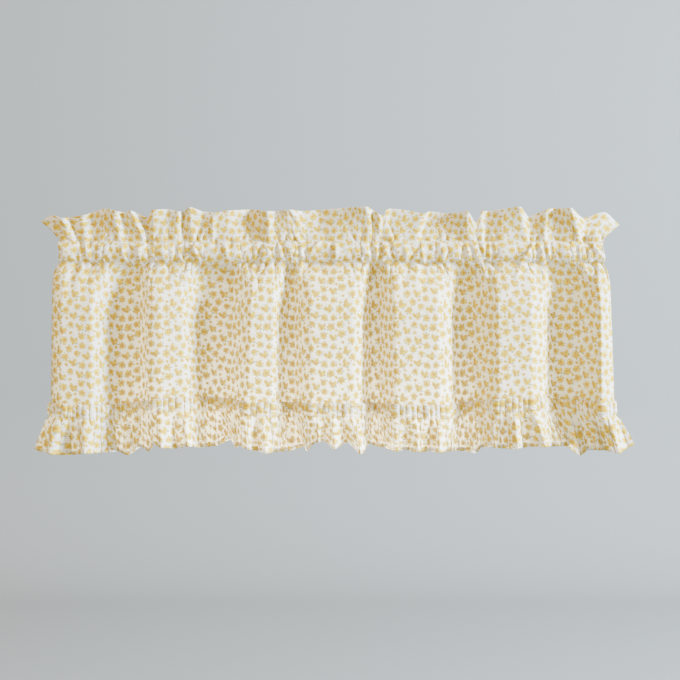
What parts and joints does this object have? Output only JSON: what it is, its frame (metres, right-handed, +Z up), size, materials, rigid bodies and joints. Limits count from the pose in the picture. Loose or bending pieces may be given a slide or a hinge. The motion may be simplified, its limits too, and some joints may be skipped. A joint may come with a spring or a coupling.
{
  "type": "window valance",
  "caption": "Rod-pocket window valance in light printed cotton, with a stand-up frilled heading, a softly gathered panel and a shirred ruffle along its foot.",
  "frame": {"origin": "middle of the frill's top edge, on the plane in which the gathered cloth hangs", "axes": "+X to the right seen from the front, +Y away from the viewer towards the window, +Z up; the front faces -Y"},
  "size_m": [0.9165, 0.0587, 0.3786],
  "materials": {
    "printed_cotton": "crisp plain weave, lightly sheer, white with a small golden floral print"
  },
  "bodies": {
    "root": {"heading": "printed_cotton", "panel": "printed_cotton", "ruffle": "printed_cotton"}
  },
  "joints": []
}
